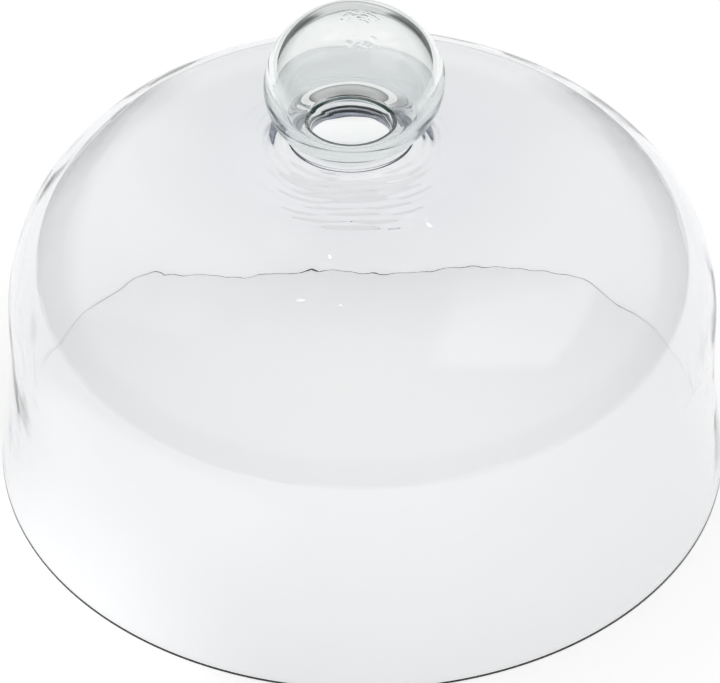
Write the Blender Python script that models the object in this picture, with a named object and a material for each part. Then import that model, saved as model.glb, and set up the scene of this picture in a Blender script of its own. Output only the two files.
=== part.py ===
"""A blown-glass dome cover with a hollow ball for its knob.

Metres, +Z up. The origin is the centre of the rim, in the plane that the cover stands on.
The dome, the collar and the ball are separate gathers of glass, joined hot on the real
object. Here each of them is a solid of its own, with a seam gap to its neighbour.
The knob was set by hand: it sits a little to the -X side of the dome's axis, and the ball
leans back towards that axis. Every wall is one outline turned about Z and then leant.
"""

from math import acos, asin, cos, hypot, pi, radians, sin, sqrt, tau

import bmesh
import bpy

# Dome: a wall that draws in slightly, then a shoulder and crown on one superellipse
RIM_RADIUS = 0.125
WALL_HEIGHT = 0.0575
WALL_DRAW_IN = 0.0063
CROWN_HEIGHT = 0.1251
SHOULDER_POWER = 2.89
CROWN_POWER = 2.23
WALL_THICKNESS = 0.0022
RIM_ROUNDING = 0.0006

# The crown thickens inwards, and rises in a low foot to a flat ledge under the knob
THICKENING_RADIUS = 0.088
THICKENING_POWER = 1.7
MIDDLE_EXTRA_THICKNESS = 0.0064
MOST_EXTRA_THICKNESS = 0.0042
LEDGE_THICKNESS = 0.0038
LEDGE_ZONE_RADIUS = 0.020
LEDGE_ZONE_END = 0.031
FOOT_RADIUS = 0.046
LEDGE_RADIUS = 0.0205
LEDGE_STEP = 0.0008
NECK_TOP_Z = 0.1279

# Neck: the passage from the dome's inside into the ball, which is wider above the dome
NECK_RADIUS = 0.0134
KNOB_OPENING_RADIUS = 0.0141
SEAM_GAP = 0.0003

# Collar: the narrow ring of glass between the ledge and the ball
COLLAR_RADIUS = 0.0156
COLLAR_HEIGHT = 0.0026
COLLAR_ROUNDING = 0.0005

# Ball: a slightly flattened hollow sphere, cut off where it meets the collar
BALL_RADIUS = 0.0289
BALL_HALF_HEIGHT = 0.0257
BALL_CENTRE_Z = 0.1476
BALL_WALL = 0.0032
BALL_ROUNDING = 0.0029

# How far along X the neck and the ball are set from the dome's axis
NECK_OFFSET = -0.0038
BALL_OFFSET = -0.0023

# Fineness of the turned surfaces
DOME_SEGMENTS = 64
KNOB_SEGMENTS = 40
FOOT_STEPS = 4
CROWN_STEPS = 12
WALL_STEPS = 4
BALL_STEPS = 11
EDGE_STEPS = 3
SMOOTH_ANGLE = radians(40)
MERGE_DISTANCE = 0.000001

SHOULDER_RADIUS = RIM_RADIUS - WALL_DRAW_IN
COLLAR_BOTTOM_Z = NECK_TOP_Z + SEAM_GAP
COLLAR_TOP_Z = COLLAR_BOTTOM_Z + COLLAR_HEIGHT
BALL_BOTTOM_Z = COLLAR_TOP_Z + SEAM_GAP


def clear_scene():
    """Start from no objects at all."""
    for item in list(bpy.data.objects):
        bpy.data.objects.remove(item, do_unlink=True)


def glass(name, colour, roughness):
    """A clear, tinted glass."""
    material = bpy.data.materials.new(name)
    material.use_nodes = True
    shader = material.node_tree.nodes["Principled BSDF"]
    shader.inputs["Base Color"].default_value = (*colour, 1)
    shader.inputs["Roughness"].default_value = roughness
    shader.inputs["Metallic"].default_value = 0.0
    shader.inputs["IOR"].default_value = 1.5
    shader.inputs["Transmission Weight"].default_value = 1.0
    material.diffuse_color = (*colour, 1)
    return material


def arc(centre_radius, centre_z, rounding, start, end, steps=EDGE_STEPS):
    """Outline points on an arc, with its angles measured from +radius towards +Z."""
    points = []
    for step in range(steps + 1):
        angle = start + (end - start) * step / steps
        points.append((centre_radius + rounding * cos(angle), centre_z + rounding * sin(angle)))
    return points


def turned(name, outline, segments, lean, material):
    """A closed solid turned about Z from an outline of (radius, height) points.

    An outline that starts and ends on the axis is left open there. Any other one is a loop.
    lean(radius, height) is the distance along X by which a point is moved once turned.
    """
    shape = bmesh.new()
    points = [shape.verts.new((radius, 0, z)) for radius, z in outline]
    edges = [shape.edges.new(pair) for pair in zip(points, points[1:])]
    if outline[0][0] > MERGE_DISTANCE:
        edges.append(shape.edges.new((points[-1], points[0])))
    bmesh.ops.spin(
        shape,
        geom=points + edges,
        cent=(0, 0, 0),
        axis=(0, 0, 1),
        angle=tau,
        steps=segments,
        use_merge=True,
    )
    bmesh.ops.remove_doubles(shape, verts=shape.verts, dist=MERGE_DISTANCE)
    for point in shape.verts:
        point.co.x += lean(hypot(point.co.x, point.co.y), point.co.z)
    bmesh.ops.recalc_face_normals(shape, faces=shape.faces)
    mesh = bpy.data.meshes.new(name)
    shape.to_mesh(mesh)
    shape.free()
    mesh.shade_smooth()
    mesh.set_sharp_from_angle(angle=SMOOTH_ANGLE)
    mesh.materials.append(material)
    item = bpy.data.objects.new(name, mesh)
    bpy.context.scene.collection.objects.link(item)
    return item


def crown_point(angle):
    """A point of the crown's outline: angle 0 is the top of the wall, pi / 2 is the axis."""
    radius = SHOULDER_RADIUS * cos(angle) ** (2 / SHOULDER_POWER)
    height = WALL_HEIGHT + (CROWN_HEIGHT - WALL_HEIGHT) * sin(angle) ** (2 / CROWN_POWER)
    return radius, height


def crown_angle(radius):
    """The angle at which crown_point gives this radius."""
    return acos((radius / SHOULDER_RADIUS) ** (SHOULDER_POWER / 2))


def wall_point(height):
    """A point of the wall's outline, which flares towards the rim."""
    return RIM_RADIUS - WALL_DRAW_IN * sin(pi / 2 * height / WALL_HEIGHT), height


def dome_outline():
    """The dome's outer outline without its foot, from the neck down to above the rounded rim."""
    radii = [NECK_RADIUS]
    for step in range(FOOT_STEPS):
        radii.append(LEDGE_RADIUS + (FOOT_RADIUS - LEDGE_RADIUS) * step / FOOT_STEPS)
    points = [crown_point(crown_angle(radius)) for radius in radii]
    foot_angle = crown_angle(FOOT_RADIUS)
    for step in range(CROWN_STEPS + 1):
        points.append(crown_point(foot_angle * (1 - step / CROWN_STEPS)))
    for step in range(1, WALL_STEPS + 1):
        points.append(wall_point(WALL_HEIGHT + (RIM_ROUNDING - WALL_HEIGHT) * step / WALL_STEPS))
    return points


def with_foot(outline):
    """The outline raised to just below the ledge, on a foot that dies out in the crown."""
    top = NECK_TOP_Z - LEDGE_STEP
    points = []
    for radius, z in outline:
        inward = (FOOT_RADIUS - radius) / (FOOT_RADIUS - LEDGE_RADIUS)
        share = min(max(inward, 0.0), 1.0) ** 2
        points.append((radius, z + (top - z) * share))
    return points


def dome_thickness(radius):
    """Thickness of the dome's glass: it grows over the crown and is less under the ledge."""
    inward = max(0.0, 1 - (radius / THICKENING_RADIUS) ** 2)
    extra = MIDDLE_EXTRA_THICKNESS * inward ** THICKENING_POWER
    crown = WALL_THICKNESS + extra / (1 + (extra / MOST_EXTRA_THICKNESS) ** 4) ** 0.25
    near = (LEDGE_ZONE_END - radius) / (LEDGE_ZONE_END - LEDGE_ZONE_RADIUS)
    near = min(max(near, 0.0), 1.0)
    return crown + (LEDGE_THICKNESS - crown) * near * near * (3 - 2 * near)


def inside_of(outline):
    """The inner outline: each outer point moved in by its thickness, square to the outline."""
    points = []
    last = len(outline) - 1
    for index, (radius, z) in enumerate(outline):
        before = outline[max(index - 1, 0)]
        after = outline[min(index + 1, last)]
        run = (after[0] - before[0], after[1] - before[1])
        scale = dome_thickness(radius) / hypot(*run)
        points.append((radius + run[1] * scale, z - run[0] * scale))
    return points


def dome_lean(radius, _height):
    """The rings of the crown drift off the axis, up to the neck's whole offset."""
    outward = (radius - NECK_RADIUS) / (RIM_RADIUS - NECK_RADIUS)
    return NECK_OFFSET * (1 - min(max(outward, 0.0), 1.0)) ** 2


def make_dome():
    """Wall, shoulder and crown, open at the rim and at the neck."""
    plain = dome_outline()
    outside = with_foot(plain)
    inside = [
        (radius, z + raised[1] - level[1])
        for (radius, z), level, raised in zip(inside_of(plain), plain, outside)
    ]
    inside[0] = (NECK_RADIUS, inside[0][1])
    inside[-1] = (RIM_RADIUS - WALL_THICKNESS, RIM_ROUNDING)
    rim = arc(RIM_RADIUS - RIM_ROUNDING, RIM_ROUNDING, RIM_ROUNDING, 0, -pi / 2)[1:]
    inner_rim_radius = RIM_RADIUS - WALL_THICKNESS + RIM_ROUNDING
    rim += arc(inner_rim_radius, RIM_ROUNDING, RIM_ROUNDING, -pi / 2, -pi)[:-1]
    ledge = [(NECK_RADIUS, NECK_TOP_Z), (LEDGE_RADIUS, NECK_TOP_Z)]
    outline = ledge + outside[1:] + rim + inside[::-1]
    clear = glass("clear_glass", (0.93, 0.96, 0.96), 0.02)
    return turned("dome", outline, DOME_SEGMENTS, dome_lean, clear)


def knob_lean(_radius, height):
    """The knob stands at the neck's offset and leans until the middle of the ball."""
    up = (height - BALL_BOTTOM_Z) / (BALL_CENTRE_Z - BALL_BOTTOM_Z)
    return NECK_OFFSET + (BALL_OFFSET - NECK_OFFSET) * min(max(up, 0.0), 1.0)


def make_collar():
    """The ring that carries the ball, rounded on its outer side."""
    middle = COLLAR_RADIUS - COLLAR_ROUNDING
    outline = [(KNOB_OPENING_RADIUS, COLLAR_BOTTOM_Z), (KNOB_OPENING_RADIUS, COLLAR_TOP_Z)]
    outline += arc(middle, COLLAR_TOP_Z - COLLAR_ROUNDING, COLLAR_ROUNDING, pi / 2, 0)
    outline += arc(middle, COLLAR_BOTTOM_Z + COLLAR_ROUNDING, COLLAR_ROUNDING, 0, -pi / 2)
    green = glass("collar_glass", (0.80, 0.90, 0.86), 0.02)
    return turned("knob_collar", outline, KNOB_SEGMENTS, knob_lean, green)


def spheroid(radius, up, down, drop):
    """Outline of a spheroid about the ball's centre, from its top to a drop below its centre.

    up and down are its half heights above and below the centre.
    """
    end = -asin(drop / down)
    points = [(0.0, BALL_CENTRE_Z + up)]
    for step in range(1, BALL_STEPS + 1):
        angle = pi / 2 + (end - pi / 2) * step / BALL_STEPS
        half_height = up if angle > 0 else down
        points.append((radius * cos(angle), BALL_CENTRE_Z + half_height * sin(angle)))
    return points


def make_ball():
    """The hollow ball, with its opening at the bottom, over the neck."""
    drop = BALL_CENTRE_Z - BALL_BOTTOM_Z
    outline = spheroid(BALL_RADIUS, BALL_HALF_HEIGHT, BALL_HALF_HEIGHT, drop - BALL_ROUNDING)
    edge_radius = outline[-1][0] - BALL_ROUNDING
    outline += arc(edge_radius, BALL_BOTTOM_Z + BALL_ROUNDING, BALL_ROUNDING, 0, -pi / 2)[1:]
    hollow_radius = BALL_RADIUS - BALL_WALL
    hollow_up = BALL_HALF_HEIGHT - BALL_WALL
    hollow_down = drop / sqrt(1 - (KNOB_OPENING_RADIUS / hollow_radius) ** 2)
    outline += spheroid(hollow_radius, hollow_up, hollow_down, drop)[::-1]
    green = glass("ball_glass", (0.80, 0.90, 0.86), 0.02)
    return turned("knob_ball", outline, KNOB_SEGMENTS, knob_lean, green)


clear_scene()
make_dome()
make_collar()
make_ball()
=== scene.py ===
"""The looks of a blown-glass dome cover with a hollow ball knob.

Each of the three gathers of glass (dome, collar, ball) is one closed solid turned about Z,
in metres. Its outer sizes come from the box of the CAD node that it replaces, and its
outline from the constants below. Ripples, waves and wrinkles are then moved into the mesh.
"""

from math import acos, asin, cos, pi, radians, sin, sqrt, tan, tau

import bpy
import numpy as np
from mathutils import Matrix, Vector


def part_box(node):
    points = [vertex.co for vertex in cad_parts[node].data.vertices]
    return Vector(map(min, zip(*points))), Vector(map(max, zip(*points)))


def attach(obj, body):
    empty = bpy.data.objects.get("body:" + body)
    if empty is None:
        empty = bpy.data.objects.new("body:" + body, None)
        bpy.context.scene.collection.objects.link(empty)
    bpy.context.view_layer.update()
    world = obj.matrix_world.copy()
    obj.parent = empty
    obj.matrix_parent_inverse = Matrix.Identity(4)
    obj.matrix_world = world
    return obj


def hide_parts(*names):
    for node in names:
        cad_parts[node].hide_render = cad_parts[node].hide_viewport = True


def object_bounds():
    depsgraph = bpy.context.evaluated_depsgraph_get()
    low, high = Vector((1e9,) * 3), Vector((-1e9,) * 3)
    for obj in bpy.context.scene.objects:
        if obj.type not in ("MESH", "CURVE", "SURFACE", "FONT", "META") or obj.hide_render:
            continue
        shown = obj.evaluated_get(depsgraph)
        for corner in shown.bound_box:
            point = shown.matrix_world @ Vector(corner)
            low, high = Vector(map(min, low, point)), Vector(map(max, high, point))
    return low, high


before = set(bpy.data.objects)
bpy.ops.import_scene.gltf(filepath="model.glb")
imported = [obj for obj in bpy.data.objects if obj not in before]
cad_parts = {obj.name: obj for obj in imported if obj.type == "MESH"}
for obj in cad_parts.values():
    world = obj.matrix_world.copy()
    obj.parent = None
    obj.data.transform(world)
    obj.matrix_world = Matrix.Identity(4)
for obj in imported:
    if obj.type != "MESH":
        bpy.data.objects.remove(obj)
cad_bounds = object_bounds()

MM = 0.001

# Outline of the dome, as in the CAD model
WALL_HEIGHT = 57.5 * MM
WALL_DRAW_IN = 6.3 * MM
CROWN_HEIGHT = 125.1 * MM
SHOULDER_POWER = 2.89
CROWN_POWER = 2.23
RIM_ROUNDING = 0.55 * MM

# The dome's glass thickens inwards, and is thinner again under the ledge
WALL_THICKNESS = 2.2 * MM
THICKENING_RADIUS = 88 * MM
THICKENING_POWER = 1.7
MIDDLE_EXTRA_THICKNESS = 6.4 * MM
MOST_EXTRA_THICKNESS = 4.2 * MM
LIMIT_POWER = 4
LEDGE_THICKNESS = 3.8 * MM
LEDGE_ZONE = (20 * MM, 31 * MM)

# A low foot rises from the crown to a flat ledge round the neck
FOOT_RADIUS = 46 * MM
LEDGE_RADIUS = 20.5 * MM
LEDGE_STEP = 0.8 * MM
LEDGE_ROUNDING = 0.3 * MM
NECK_RADIUS = 13.4 * MM
NECK_FILLET = 2.4 * MM
NECK_ROUNDING = 0.8 * MM

# The dome's skin is worked out from this share of the neck's radius outwards
SKIN_START = 0.9

# Collar and ball
COLLAR_INNER_RADIUS = 13.9 * MM
WAIST_DRAW_IN = 0.4 * MM
THROAT_POWER = 0.8
BALL_HALF_HEIGHT = 25.7 * MM
BALL_WALL = 3.2 * MM
BALL_LIP_RADIUS = 14.1 * MM

# The ball's underside curves in over this height, with its corner this share of the way down
BALL_UNDERSIDE = 1.8 * MM
UNDERSIDE_CORNER = 0.62

# The hollow starts just above the ball's bottom, and would meet the lip's radius just below it
HOLLOW_START = 0.3 * MM
HOLLOW_PAST_BOTTOM = 0.4 * MM

# Tooling rings round the neck: fine ripples on broader folds, which fade in and out
RIPPLE_HEIGHT = 0.06 * MM
RIPPLE_PITCH = 2.9 * MM
FOLD_HEIGHT = 0.075 * MM
FOLD_PITCH = 6.1 * MM
RINGS_FADE_IN = 3 * MM
RINGS_END_RADIUS = 54 * MM
RINGS_FADE_OUT = 26 * MM
RINGS_WANDER = 0.9 * MM
RINGS_WANDER_LENGTH = 30 * MM
FOLD_WANDER = 1.4

# Spread of the wave lengths in a pattern, about the length that is asked for
WAVE_PITCHES = (0.75, 1.35)

# Hand-blown waves inside the dome, calm near the rim: depth in mm, length and seed of each size
HAND_WAVES = ((0.10, 55 * MM, 11), (0.030, 19 * MM, 12), (0.007, 7 * MM, 13))
CALM_HEIGHT = 3 * MM
CALM_FADE = 12 * MM
WAVE_CORE = 50 * MM

# The collar's uneven outer edge
EDGE_START_RADIUS = 15 * MM
EDGE_FADE = 0.6 * MM
EDGE_OVAL = 0.08 * MM
EDGE_OVAL_TURN = 0.4
EDGE_WAVES = 0.06 * MM
EDGE_WAVE_LENGTH = 9 * MM
EDGE_SET_IN = 0.15 * MM

# The wrinkled chill mark inside the ball's top, with part rings on its +X side
MARK_X = 1.5 * MM
MARK_Y = -4 * MM
MARK_RADIUS = 9.5 * MM
MARK_FADE = 3.5 * MM
WRINKLE_HEIGHT_MM = 0.032
WRINKLE_LENGTHS = (2.4 * MM, 1.1 * MM)
MARK_RING_HEIGHT_MM = 0.022
MARK_RING_PITCH = 1.3 * MM
MARK_RING_TURN = 0.3
HOLLOW_WAVES = 0.05 * MM
HOLLOW_WAVE_LENGTH = 18 * MM

# Fused seams: the pieces almost touch, and light passes their facing sides unbent
SEAM = 0.02 * MM

# Fineness of the turned surfaces. The dome's skin is finer along its ringed part
DOME_SEGMENTS = 256
KNOB_SEGMENTS = 192
CROWN_DRAFT_STEPS = 900
WALL_DRAFT_STEPS = 300
DRAFT_SMOOTHING = 40
RINGED_LENGTH = 42 * MM
RINGED_POINTS = 150
PLAIN_POINTS = 130
BALL_STEPS = 96
HOLLOW_LOW_STEPS = 60
HOLLOW_TOP_STEPS = 130
UNDERSIDE_STEPS = 14
WAIST_STEPS = 22
THROAT_STEPS = 8
SEAT_STEPS = 3
NECK_ARC_STEPS = 8
LEDGE_ARC_STEPS = 5
RIM_ARC_STEPS = 6
BORE_STEPS = 5
ON_AXIS = 1e-7

GLASS, JOINT = 0, 1


# --- outlines -----------------------------------------------------------------------------

def steps(start, end, count):
    """Evenly spaced numbers from start to end, count + 1 of them."""
    return [start + (end - start) * index / count for index in range(count + 1)]


def arc(radius, z, rounding, start, end, count):
    """Outline points on an arc, with its angles measured from +radius towards +Z."""
    return [(radius + rounding * cos(a), z + rounding * sin(a)) for a in steps(start, end, count)]


def level_run(start, end, z):
    """Outline points of a flat seat at one height, after its first point."""
    return [(radius, z) for radius in steps(start, end, SEAT_STEPS)[1:]]


def curve(first, corner, last, count):
    """Points of a curve from first to last, drawn towards corner, after its first point."""
    points = []
    for t in steps(0, 1, count)[1:]:
        weights = ((1 - t) ** 2, 2 * t * (1 - t), t**2)
        pairs = list(zip(weights, (first, corner, last)))
        points.append((sum(w * p[0] for w, p in pairs), sum(w * p[1] for w, p in pairs)))
    return points


class Outline:
    """A closed outline of (radius, height) points. Each stretch to the next point has a finish."""

    def __init__(self):
        self.points = []
        self.finishes = []

    def add(self, points, finish=GLASS):
        """Adds a run of points. The stretch that leads to each of them has this finish."""
        for point in points:
            self.points.append(point)
            self.finishes.append(finish)


def ring_faces(start_a, count_a, start_b, count_b, segments):
    """Faces between two neighbouring rings of points, either of which may be a single point."""
    faces = []
    for turn in range(segments):
        after = (turn + 1) % segments
        face = [start_a + turn % count_a, start_b + turn % count_b]
        if count_b > 1:
            face.append(start_b + after)
        if count_a > 1:
            face.append(start_a + after)
        faces.append(face)
    return faces


def turned(name, outline, segments, shape):
    """A closed solid turned about Z. shape(x, y, z, ring) moves each ring's points into place."""
    angles = np.arange(segments) * tau / segments
    rows = []
    rings = []
    total = 0
    for index, (radius, z) in enumerate(outline.points):
        count = 1 if radius < ON_AXIS else segments
        turn = angles[:count]
        x, y, z = shape(radius * np.cos(turn), radius * np.sin(turn), np.full(count, z), index)
        rows.append(np.stack([x, y, z], 1))
        rings.append((total, count))
        total += count
    faces = []
    slots = []
    for index, ring in enumerate(rings):
        before = rings[index - 1]
        if before[1] == 1 and ring[1] == 1:
            continue
        faces += ring_faces(*before, *ring, segments)
        slots += [outline.finishes[index]] * segments
    mesh = bpy.data.meshes.new(name)
    mesh.from_pydata(np.concatenate(rows).tolist(), [], faces)
    mesh.polygons.foreach_set("material_index", slots)
    mesh.polygons.foreach_set("use_smooth", [True] * len(faces))
    mesh.update()
    item = bpy.data.objects.new(name, mesh)
    bpy.context.scene.collection.objects.link(item)
    return item


def smooth(t):
    """0 to 1 with level ends."""
    t = np.clip(t, 0.0, 1.0)
    return t * t * (3 - 2 * t)


def waves(x, y, z, length, seed, count=7):
    """A smooth, seeded pattern of about -1 to 1 with waves of about this length."""
    random = np.random.RandomState(seed)
    total = np.zeros_like(x)
    for _ in range(count):
        direction = random.normal(size=3)
        direction /= np.linalg.norm(direction)
        pitch = length * random.uniform(*WAVE_PITCHES)
        phase = random.uniform(0, tau)
        along = direction[0] * x + direction[1] * y + direction[2] * z
        total = total + np.sin(along * tau / pitch + phase)
    return total / sqrt(count)


# --- dome ---------------------------------------------------------------------------------

_, dome_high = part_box("dome")
collar_low, collar_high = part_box("knob_collar")
ball_low, ball_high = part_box("knob_ball")

RIM_RADIUS = dome_high.x
SHOULDER_RADIUS = RIM_RADIUS - WALL_DRAW_IN
NECK_TOP = dome_high.z
NECK_OFFSET = (collar_low.x + collar_high.x) / 2
COLLAR_RADIUS = (collar_high.y - collar_low.y) / 2
BALL_RADIUS = (ball_high.y - ball_low.y) / 2
BALL_OFFSET = (ball_low.x + ball_high.x) / 2
BALL_BOTTOM = ball_low.z
BALL_TOP = ball_high.z
BALL_MIDDLE = BALL_TOP - BALL_HALF_HEIGHT


def crown_point(angle):
    """A point of the crown's outline: angle 0 is the top of the wall, pi / 2 is the axis."""
    radius = SHOULDER_RADIUS * cos(angle) ** (2 / SHOULDER_POWER)
    return radius, WALL_HEIGHT + (CROWN_HEIGHT - WALL_HEIGHT) * sin(angle) ** (2 / CROWN_POWER)


def crown_angle(radius):
    """The angle at which crown_point gives this radius."""
    return acos((radius / SHOULDER_RADIUS) ** (SHOULDER_POWER / 2))


def wall_point(height):
    """A point of the wall's outline, which flares towards the rim."""
    return RIM_RADIUS - WALL_DRAW_IN * sin(pi / 2 * height / WALL_HEIGHT), height


def dome_skin():
    """Radii and heights along the dome's outer outline without its foot, from neck to rim."""
    top = crown_angle(SKIN_START * NECK_RADIUS)
    draft = [crown_point(a) for a in steps(top, 0, CROWN_DRAFT_STEPS)]
    draft += [wall_point(z) for z in steps(WALL_HEIGHT, 0, WALL_DRAFT_STEPS)[1:]]
    draft = np.array(draft)
    run = np.concatenate([[0], np.cumsum(np.hypot(*np.diff(draft, axis=0).T))])
    for _ in range(DRAFT_SMOOTHING):
        draft[1:-1] = (draft[:-2] + 2 * draft[1:-1] + draft[2:]) / 4
    ringed = np.linspace(0, RINGED_LENGTH, RINGED_POINTS)[:-1]
    fine = np.concatenate([ringed, np.linspace(RINGED_LENGTH, run[-1], PLAIN_POINTS)])
    return np.interp(fine, run, draft[:, 0]), np.interp(fine, run, draft[:, 1])


def dome_thickness(radius):
    """Thickness of the dome's glass: it grows over the crown and is less under the ledge."""
    inward = np.clip(1 - (radius / THICKENING_RADIUS) ** 2, 0, None)
    extra = MIDDLE_EXTRA_THICKNESS * inward**THICKENING_POWER
    limit = (1 + (extra / MOST_EXTRA_THICKNESS) ** LIMIT_POWER) ** (1 / LIMIT_POWER)
    crown = WALL_THICKNESS + extra / limit
    near = smooth((LEDGE_ZONE[1] - radius) / (LEDGE_ZONE[1] - LEDGE_ZONE[0]))
    return crown - (crown - LEDGE_THICKNESS) * near


def tooling_rings(x, y, z):
    """How far the outer skin is lifted by the rings that the tools left round the neck."""
    radius = np.hypot(x, y)
    near = smooth((radius - LEDGE_RADIUS) / RINGS_FADE_IN)
    near = near * smooth((RINGS_END_RADIUS - radius) / RINGS_FADE_OUT)
    wander = RINGS_WANDER * waves(x, y, z, RINGS_WANDER_LENGTH, seed=21)
    lift = RIPPLE_HEIGHT * np.sin((radius + wander) * tau / RIPPLE_PITCH)
    return near * (lift + FOLD_HEIGHT * np.sin((radius - FOLD_WANDER * wander) * tau / FOLD_PITCH))


def hand_waves(x, y, z):
    """How much the inner skin is scaled by its waves, which bend what is seen through it."""
    calm = smooth((z - CALM_HEIGHT) / CALM_FADE)
    bend = sum(depth * waves(x, y, z, length, seed) for depth, length, seed in HAND_WAVES)
    distance = np.sqrt(np.hypot(x, y) ** 2 + z**2)
    return 1 + calm * bend * MM / np.maximum(distance, WAVE_CORE)


def dome_skins():
    """Radii and heights of the outer skin with its foot, and of the inner skin, above the rim."""
    radius, z = dome_skin()
    slope_r, slope_z = np.gradient(radius), np.gradient(z)
    length = np.hypot(slope_r, slope_z)
    share = np.clip((FOOT_RADIUS - radius) / (FOOT_RADIUS - LEDGE_RADIUS), 0, 1) ** 2
    outer_z = z + (NECK_TOP - LEDGE_STEP - z) * share
    inner_r = radius + slope_z / length * dome_thickness(radius)
    inner_z = outer_z - slope_r / length * dome_thickness(radius)
    above_rim = z > RIM_ROUNDING
    return [row[above_rim] for row in (radius, outer_z, inner_r, inner_z)]


def dome_outline():
    """The dome's outline, and the number of its first point past the outer skin."""
    outer_r, outer_z, inner_r, inner_z = dome_skins()
    outer = outer_r > LEDGE_RADIUS
    fillet_radius = NECK_RADIUS + NECK_FILLET
    fillet_z = float(np.interp(fillet_radius, inner_r, inner_z)) + NECK_FILLET
    inner = inner_r > fillet_radius

    outline = Outline()
    neck_arc = (NECK_RADIUS + NECK_ROUNDING, NECK_TOP - NECK_ROUNDING, NECK_ROUNDING)
    outline.add(arc(*neck_arc, pi, pi / 2, NECK_ARC_STEPS))
    outline.add([(COLLAR_INNER_RADIUS, NECK_TOP)])
    outline.add(level_run(COLLAR_INNER_RADIUS, COLLAR_RADIUS, NECK_TOP), JOINT)
    ledge_arc = (LEDGE_RADIUS - LEDGE_ROUNDING, NECK_TOP - LEDGE_ROUNDING, LEDGE_ROUNDING)
    outline.add(arc(*ledge_arc, pi / 2, 0, LEDGE_ARC_STEPS))
    outline.add([(LEDGE_RADIUS, NECK_TOP - LEDGE_STEP)])
    outline.add(list(zip(outer_r[outer], outer_z[outer])))
    rim_ring = len(outline.points)
    outer_rim = RIM_RADIUS - RIM_ROUNDING
    outline.add(arc(outer_rim, RIM_ROUNDING, RIM_ROUNDING, 0, -pi / 2, RIM_ARC_STEPS)[1:])
    inner_rim = RIM_RADIUS - WALL_THICKNESS + RIM_ROUNDING
    outline.add(arc(inner_rim, RIM_ROUNDING, RIM_ROUNDING, -pi / 2, -pi, RIM_ARC_STEPS))
    outline.add(list(zip(inner_r[inner], inner_z[inner]))[::-1])
    outline.add(arc(fillet_radius, fillet_z, NECK_FILLET, -pi / 2, -pi, NECK_ARC_STEPS))
    bore = steps(fillet_z, NECK_TOP - NECK_ROUNDING, BORE_STEPS)[1:-1]
    outline.add([(NECK_RADIUS, height) for height in bore])
    return outline, rim_ring


def make_dome():
    """The cover itself, with its outer skin, rounded rim, inner skin and neck."""
    outline, rim_ring = dome_outline()

    def shape(x, y, z, ring):
        outward = (np.hypot(x, y) - NECK_RADIUS) / (RIM_RADIUS - NECK_RADIUS)
        lean = NECK_OFFSET * (1 - smooth(outward))
        if ring < rim_ring:
            z = z + tooling_rings(x, y, z)
        else:
            share = hand_waves(x, y, z)
            x, y, z = x * share, y * share, z * share
        return x + lean, y, z

    return turned("cover_dome", outline, DOME_SEGMENTS, shape)


# --- knob ---------------------------------------------------------------------------------

def knob_lean(z):
    """The knob stands at the neck's offset and leans until halfway up the ball."""
    halfway = (BALL_BOTTOM + BALL_TOP) / 2
    up = np.clip((z - BALL_BOTTOM) / (halfway - BALL_BOTTOM), 0, 1)
    return NECK_OFFSET + (BALL_OFFSET - NECK_OFFSET) * up


def make_collar():
    """The narrow ring of glass that carries the ball, drawn in a little at its waist."""
    low, high = NECK_TOP + SEAM, BALL_BOTTOM - SEAM
    middle, half = (low + high) / 2, (high - low) / 2
    outline = Outline()
    outline.add([(BALL_LIP_RADIUS, high)])
    outline.add(level_run(BALL_LIP_RADIUS, COLLAR_RADIUS, high), JOINT)
    for angle in steps(pi / 2, -pi / 2, WAIST_STEPS)[1:-1]:
        outline.add([(COLLAR_RADIUS - WAIST_DRAW_IN * cos(angle), middle + half * sin(angle))])
    outline.add([(COLLAR_RADIUS, low)])
    outline.add(level_run(COLLAR_RADIUS, COLLAR_INNER_RADIUS, low), JOINT)
    flare = BALL_LIP_RADIUS - COLLAR_INNER_RADIUS
    for up in steps(0, 1, THROAT_STEPS)[1:-1]:
        outline.add([(COLLAR_INNER_RADIUS + flare * up**THROAT_POWER, low + (high - low) * up)])

    def shape(x, y, z, ring):
        radius = np.hypot(x, y)
        edge = smooth((radius - EDGE_START_RADIUS) / EDGE_FADE)
        uneven = EDGE_OVAL * np.sin(2 * np.arctan2(y, x) + EDGE_OVAL_TURN)
        uneven = uneven + EDGE_WAVES * waves(x, y, z * 3, EDGE_WAVE_LENGTH, seed=31)
        share = 1 + edge * (uneven - EDGE_SET_IN) / np.maximum(radius, MM)
        return x * share + knob_lean(z), y * share, z

    return turned("knob_collar_ring", outline, KNOB_SEGMENTS, shape)


def spheroid(radius, half_height, start, end, count):
    """Outline of a spheroid about the ball's centre, between two angles above its middle."""
    angles = steps(start, end, count)
    return [(max(radius * cos(a), 0.0), BALL_MIDDLE + half_height * sin(a)) for a in angles]


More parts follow.
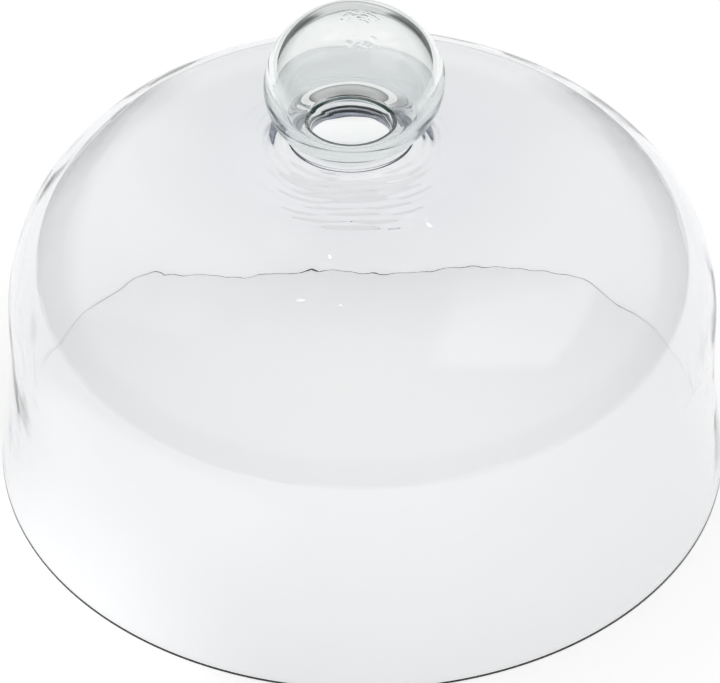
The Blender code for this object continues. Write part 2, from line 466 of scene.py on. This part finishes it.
def ball_outline():
    """The ball's outline, and the number of its first point in the hollow's upper half."""
    drop = BALL_MIDDLE - BALL_BOTTOM
    end = -asin((BALL_MIDDLE - (BALL_BOTTOM + BALL_UNDERSIDE)) / BALL_HALF_HEIGHT)
    outside = spheroid(BALL_RADIUS, BALL_HALF_HEIGHT, pi / 2, end, BALL_STEPS)
    outline = Outline()
    outline.add(outside)
    # The underside curves on from there, in to the collar
    radius, z = outside[-1]
    fall = UNDERSIDE_CORNER * BALL_UNDERSIDE
    corner = (radius + fall * BALL_RADIUS / BALL_HALF_HEIGHT * tan(end), z - fall)
    outline.add(curve((radius, z), corner, (COLLAR_RADIUS, BALL_BOTTOM), UNDERSIDE_STEPS))
    outline.add(level_run(COLLAR_RADIUS, BALL_LIP_RADIUS, BALL_BOTTOM), JOINT)
    hollow_radius = BALL_RADIUS - BALL_WALL
    past_lip = sqrt(1 - (BALL_LIP_RADIUS / hollow_radius) ** 2)
    hollow_down = (drop + HOLLOW_PAST_BOTTOM) / past_lip
    low = -asin((drop - HOLLOW_START) / hollow_down)
    outline.add(spheroid(hollow_radius, hollow_down, low, 0, HOLLOW_LOW_STEPS)[:-1])
    upper_ring = len(outline.points)
    hollow_up = BALL_HALF_HEIGHT - BALL_WALL
    upper = spheroid(hollow_radius, hollow_up, 0, pi / 2, HOLLOW_TOP_STEPS)
    upper[-1] = (0.0, upper[-1][1])
    outline.add(upper)
    return outline, upper_ring


def chill_mark(x, y, z):
    """How far the hollow's top is lifted by the wrinkles and part rings of its chill mark."""
    off_mark = np.hypot(x - MARK_X, y - MARK_Y)
    mark = smooth((MARK_RADIUS - off_mark) / MARK_FADE) * (z > BALL_MIDDLE)
    broad, fine = WRINKLE_LENGTHS
    rough = waves(x, y, z, broad, seed=41, count=12)
    rough = rough + 0.5 * waves(x, y, z, fine, seed=42, count=12)
    side = smooth(np.cos(np.arctan2(y, x) - MARK_RING_TURN))
    rings = np.sin(off_mark * tau / MARK_RING_PITCH) * side
    return mark * (WRINKLE_HEIGHT_MM * rough + MARK_RING_HEIGHT_MM * rings) * MM


def make_ball():
    """The hollow ball, open at the bottom over the neck, with a wrinkled mark inside its top."""
    outline, upper_ring = ball_outline()

    def shape(x, y, z, ring):
        if ring >= upper_ring:
            z = z + chill_mark(x, y, z)
            z = z + HOLLOW_WAVES * waves(x, y, z, HOLLOW_WAVE_LENGTH, seed=43)
        return x + knob_lean(z), y, z

    return turned("knob_ball_glass", outline, KNOB_SEGMENTS, shape)


# --- materials ----------------------------------------------------------------------------

# Colour that each glass lets through, and how dense it is
CLEAR_TINT, CLEAR_DEPTH = (0.61, 0.64, 0.71), 46
GREEN_TINT, GREEN_DEPTH = (0.60, 0.72, 0.69), 28

GLASS_IOR = 1.5
SAME_GLASS_IOR = 1.0
MOST_HAZE = 0.006
SURFACE_TINT = (0.99, 0.995, 0.99, 1)
WHITE = (1, 1, 1, 1)

# Scale of the faint waves in a surface, and their height. Streaks have a share of that scale
DOME_WAVES = (25, 0.06 * MM)
KNOB_WAVES = (60, 0.05 * MM)
STREAK_SHARE = 0.4


def node(tree, kind, **inputs):
    """A shader node with its inputs set by name."""
    made = tree.nodes.new(kind)
    for name, value in inputs.items():
        made.inputs[name.replace("_", " ")].default_value = value
    return made


def new_material(name):
    """A new material with its node tree and its shader."""
    material = bpy.data.materials.new(name)
    material.use_nodes = True
    tree = material.node_tree
    return material, tree, tree.nodes["Principled BSDF"]


def absorb(tree, tint, density):
    """Tints light by the depth of glass that it passes through."""
    volume = node(tree, "ShaderNodeVolumeAbsorption", Color=(*tint, 1), Density=density)
    tree.links.new(volume.outputs["Volume"], tree.nodes["Material Output"].inputs["Volume"])


def glass(name, tint, depth, wave_scale, wave_height):
    """Clear glass: tinted through its depth, with faint waves, streaks and a trace of haze."""
    material, tree, shader = new_material(name)
    shader.inputs["Transmission Weight"].default_value = 1.0
    shader.inputs["IOR"].default_value = GLASS_IOR
    place = node(tree, "ShaderNodeTexCoord")
    swirl = node(tree, "ShaderNodeTexNoise", Scale=wave_scale, Detail=1.5, Roughness=0.4)
    tree.links.new(place.outputs["Object"], swirl.inputs["Vector"])
    bump = node(tree, "ShaderNodeBump", Strength=1.0, Distance=wave_height)
    tree.links.new(swirl.outputs["Fac"], bump.inputs["Height"])
    tree.links.new(bump.outputs["Normal"], shader.inputs["Normal"])
    streaks = node(tree, "ShaderNodeTexNoise", Scale=wave_scale * STREAK_SHARE, Detail=2.0)
    tree.links.new(place.outputs["Object"], streaks.inputs["Vector"])
    haze = node(tree, "ShaderNodeMapRange", To_Min=0.0, To_Max=MOST_HAZE)
    tree.links.new(streaks.outputs["Fac"], haze.inputs["Value"])
    tree.links.new(haze.outputs["Result"], shader.inputs["Roughness"])
    clear = node(tree, "ShaderNodeMix")
    clear.data_type = "RGBA"
    clear.inputs["A"].default_value = SURFACE_TINT
    clear.inputs["B"].default_value = WHITE
    tree.links.new(streaks.outputs["Fac"], clear.inputs["Factor"])
    tree.links.new(clear.outputs["Result"], shader.inputs["Base Color"])
    absorb(tree, tint, depth)
    return material


def seam_glass(name, tint, depth):
    """The facing sides of a fused seam: the same glass goes on behind them, so nothing bends."""
    material, tree, shader = new_material(name)
    shader.inputs["Base Color"].default_value = WHITE
    shader.inputs["Transmission Weight"].default_value = 1.0
    shader.inputs["Roughness"].default_value = 0.0
    shader.inputs["IOR"].default_value = SAME_GLASS_IOR
    absorb(tree, tint, depth)
    return material


def finish_piece(item, cad_node, slot, tint, depth, wave_scale, wave_height):
    """Gives a piece its glass and ties it to the frame."""
    item.data.materials.append(glass(item.name + "_glass", tint, depth, wave_scale, wave_height))
    item.data.materials.append(seam_glass(item.name + "_seam", tint, depth))
    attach(item, "root")
    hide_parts(cad_node)


finish_piece(make_dome(), "dome", "clear_glass", CLEAR_TINT, CLEAR_DEPTH, *DOME_WAVES)
finish_piece(make_collar(), "knob_collar", "green_glass", GREEN_TINT, GREEN_DEPTH, *KNOB_WAVES)
finish_piece(make_ball(), "knob_ball", "green_glass", GREEN_TINT, GREEN_DEPTH, *KNOB_WAVES)


# --- stage --------------------------------------------------------------------------------

# The floor glows evenly, with a painted pool of light to the front left, where it glows brighter
FLOOR_RADIUS = 0.75
FLOOR_SIDES = 96
FLOOR_GAP = 0.05 * MM
FLOOR_WHITE = 0.75
FLOOR_ROUGHNESS = 0.9
FLOOR_GLOW = 0.635
LIGHT_POOL_CENTRE = (-0.21, -0.16)
LIGHT_POOL_RADIUS = 0.19
LIGHT_POOL_CORE_RADIUS = LIGHT_POOL_RADIUS / 2
LIGHT_POOL_GLOW = 1.05

# Studio panels: azimuth from +Y towards +X, elevation, half width, half height, softness, light
PANELS = (
    (-48, 40, 0.55, 0.42, 0.06, 0.72),
    (44, 40, 0.42, 0.42, 0.05, 0.56),
    (84, 57, 0.34, 0.30, 0.05, 1.10),
    (0, 2, 0.26, 0.20, 0.06, 0.75),
)
# Small lamps, the same way, whose light leaves the floor alone
LAMPS = (
    (-5.8, 60, 0.0024, 0.0080, 0.0008, 100.0),
    (10.5, 50, 0.0014, 0.0030, 0.0005, 100.0),
)
# The sky darkens from the higher of these elevations down to the lower one, in degrees
SKY_LIGHT = 0.42
HORIZON_LIGHT = 0.12
HORIZON_HIGH = 14
HORIZON_LOW = 9

# What is seen beside the object
PALE_BACKDROP = 0.95

# The least distance ahead, which keeps a panel from showing on the opposite side as well
IN_FRONT = 0.001

# The camera looks at a point on the dome's axis
VIEW_ELEVATION = radians(38.87)
VIEW_DISTANCE = 1050 * MM
VIEW_TARGET_Z = 41.5 * MM
LENS_MM = 154.4
SENSOR_MM = 36
VIEW_SHIFT = -2.5 / 720
VIEW_END = 50

GLASS_BOUNCES = 24
GLOSS_BOUNCES = 12
FLOOR_BOUNCES = 3


def floor_glow(tree, low):
    """How brightly the floor glows: the painted pool of light fades evenly into the rest."""
    place = node(tree, "ShaderNodeTexCoord")
    away = node(tree, "ShaderNodeVectorMath")
    away.operation = "DISTANCE"
    away.inputs[1].default_value = (*LIGHT_POOL_CENTRE, low)
    tree.links.new(place.outputs["Object"], away.inputs[0])
    # Painted pool of light: the floor glows brighter near the front left
    glow = node(tree, "ShaderNodeMapRange", To_Min=LIGHT_POOL_GLOW, To_Max=FLOOR_GLOW)
    glow.interpolation_type = "SMOOTHSTEP"
    glow.inputs["From Min"].default_value = LIGHT_POOL_CORE_RADIUS
    glow.inputs["From Max"].default_value = LIGHT_POOL_RADIUS
    tree.links.new(away.outputs["Value"], glow.inputs["Value"])
    return glow.outputs["Result"]


def make_floor():
    """A round, pale floor that glows a little, like a light table."""
    turns = steps(0, tau, FLOOR_SIDES)[:-1]
    low = cad_bounds[0][2] - FLOOR_GAP
    corners = [(FLOOR_RADIUS * cos(a), FLOOR_RADIUS * sin(a), low) for a in turns]
    mesh = bpy.data.meshes.new("floor")
    mesh.from_pydata(corners, [], [range(len(corners))])
    floor = bpy.data.objects.new("floor", mesh)
    bpy.context.scene.collection.objects.link(floor)
    material, tree, shader = new_material("floor_paper")
    shader.inputs["Base Color"].default_value = (FLOOR_WHITE, FLOOR_WHITE, FLOOR_WHITE, 1)
    shader.inputs["Roughness"].default_value = FLOOR_ROUGHNESS
    shader.inputs["Specular IOR Level"].default_value = 0.0
    shader.inputs["Emission Color"].default_value = WHITE
    tree.links.new(floor_glow(tree, low), shader.inputs["Emission Strength"])
    mesh.materials.append(material)


def math_node(tree, operation, *values):
    """The result of a maths node. Each value is a number or another node's output."""
    made = tree.nodes.new("ShaderNodeMath")
    made.operation = operation
    for socket, value in zip(made.inputs, values):
        if isinstance(value, (int, float)):
            socket.default_value = value
        else:
            tree.links.new(value, socket)
    return made.outputs[0]


def along(tree, place, axis):
    """How far a direction in the world goes along this axis."""
    dot = node(tree, "ShaderNodeVectorMath")
    dot.operation = "DOT_PRODUCT"
    dot.inputs[1].default_value = axis
    tree.links.new(place.outputs["Generated"], dot.inputs[0])
    return dot.outputs["Value"]


def inside_edge(tree, distance, half, softness):
    """1 nearer than half, 0 farther, with a soft edge. distance may have either sign."""
    edge = node(tree, "ShaderNodeMapRange", To_Min=1.0, To_Max=0.0)
    edge.interpolation_type = "SMOOTHSTEP"
    edge.inputs["From Min"].default_value = half - softness
    edge.inputs["From Max"].default_value = half + softness
    tree.links.new(math_node(tree, "ABSOLUTE", distance), edge.inputs["Value"])
    return edge.outputs["Result"]


def world_panel(tree, place, azimuth, elevation, half_width, half_height, softness):
    """1 inside a soft-edged panel in this direction, seen from the object, and 0 outside it."""
    az, el = radians(azimuth), radians(elevation)
    front = Vector((sin(az) * cos(el), cos(az) * cos(el), sin(el)))
    right = Vector((cos(az), -sin(az), 0))
    up = right.cross(front)
    ahead = math_node(tree, "MAXIMUM", along(tree, place, front), IN_FRONT)
    sideways = math_node(tree, "DIVIDE", along(tree, place, right), ahead)
    upwards = math_node(tree, "DIVIDE", along(tree, place, up), ahead)
    across = inside_edge(tree, sideways, half_width, softness)
    return math_node(tree, "MULTIPLY", across, inside_edge(tree, upwards, half_height, softness))


def sky_light(tree, place):
    """The light of the plain sky, which darkens towards the horizon."""
    split = node(tree, "ShaderNodeSeparateXYZ")
    tree.links.new(place.outputs["Generated"], split.inputs[0])
    sky = node(tree, "ShaderNodeMapRange", To_Min=HORIZON_LIGHT, To_Max=SKY_LIGHT)
    sky.interpolation_type = "SMOOTHSTEP"
    sky.inputs["From Min"].default_value = sin(radians(HORIZON_LOW))
    sky.inputs["From Max"].default_value = sin(radians(HORIZON_HIGH))
    tree.links.new(split.outputs["Z"], sky.inputs["Value"])
    return sky.outputs["Result"]


def blend(tree, mask, outside, inside):
    """The outside light where the mask is 0, and this inside light where it is 1."""
    mix = node(tree, "ShaderNodeMix")
    mix.data_type = "FLOAT"
    mix.inputs["B"].default_value = inside
    tree.links.new(mask, mix.inputs["Factor"])
    tree.links.new(outside, mix.inputs["A"])
    return mix.outputs["Result"]


def make_world():
    """A soft studio: a pale room that darkens towards the horizon, with brighter panels."""
    world = bpy.data.worlds.new("studio")
    bpy.context.scene.world = world
    world.use_nodes = True
    tree = world.node_tree
    place = node(tree, "ShaderNodeTexCoord")
    path = node(tree, "ShaderNodeLightPath")
    light = sky_light(tree, place)
    for *panel, strength in PANELS:
        light = blend(tree, world_panel(tree, place, *panel), light, strength)
    # Light that comes by way of the floor has a diffuse depth of 1 or more
    not_floor = math_node(tree, "LESS_THAN", path.outputs["Diffuse Depth"], 0.5)
    for *lamp, strength in LAMPS:
        shown = math_node(tree, "MULTIPLY", world_panel(tree, place, *lamp), not_floor)
        light = math_node(tree, "MULTIPLY_ADD", shown, strength, light)
    light = blend(tree, path.outputs["Is Camera Ray"], light, PALE_BACKDROP)
    tree.links.new(light, tree.nodes["Background"].inputs["Color"])


def make_camera():
    """The camera, at the height and distance that the object is seen from."""
    data = bpy.data.cameras.new("camera")
    data.lens = LENS_MM
    data.sensor_width = SENSOR_MM
    data.shift_x = VIEW_SHIFT
    data.clip_end = VIEW_END
    camera = bpy.data.objects.new("camera", data)
    bpy.context.scene.collection.objects.link(camera)
    back = VIEW_DISTANCE * cos(VIEW_ELEVATION)
    rise = VIEW_DISTANCE * sin(VIEW_ELEVATION)
    camera.location = (0, -back, VIEW_TARGET_Z + rise)
    camera.rotation_euler = (pi / 2 - VIEW_ELEVATION, 0, 0)
    bpy.context.scene.camera = camera


make_floor()
make_world()
make_camera()
scene = bpy.context.scene
scene.view_settings.view_transform = "Standard"
scene.cycles.max_bounces = GLASS_BOUNCES
scene.cycles.transmission_bounces = GLASS_BOUNCES
scene.cycles.glossy_bounces = GLOSS_BOUNCES
scene.cycles.diffuse_bounces = FLOOR_BOUNCES
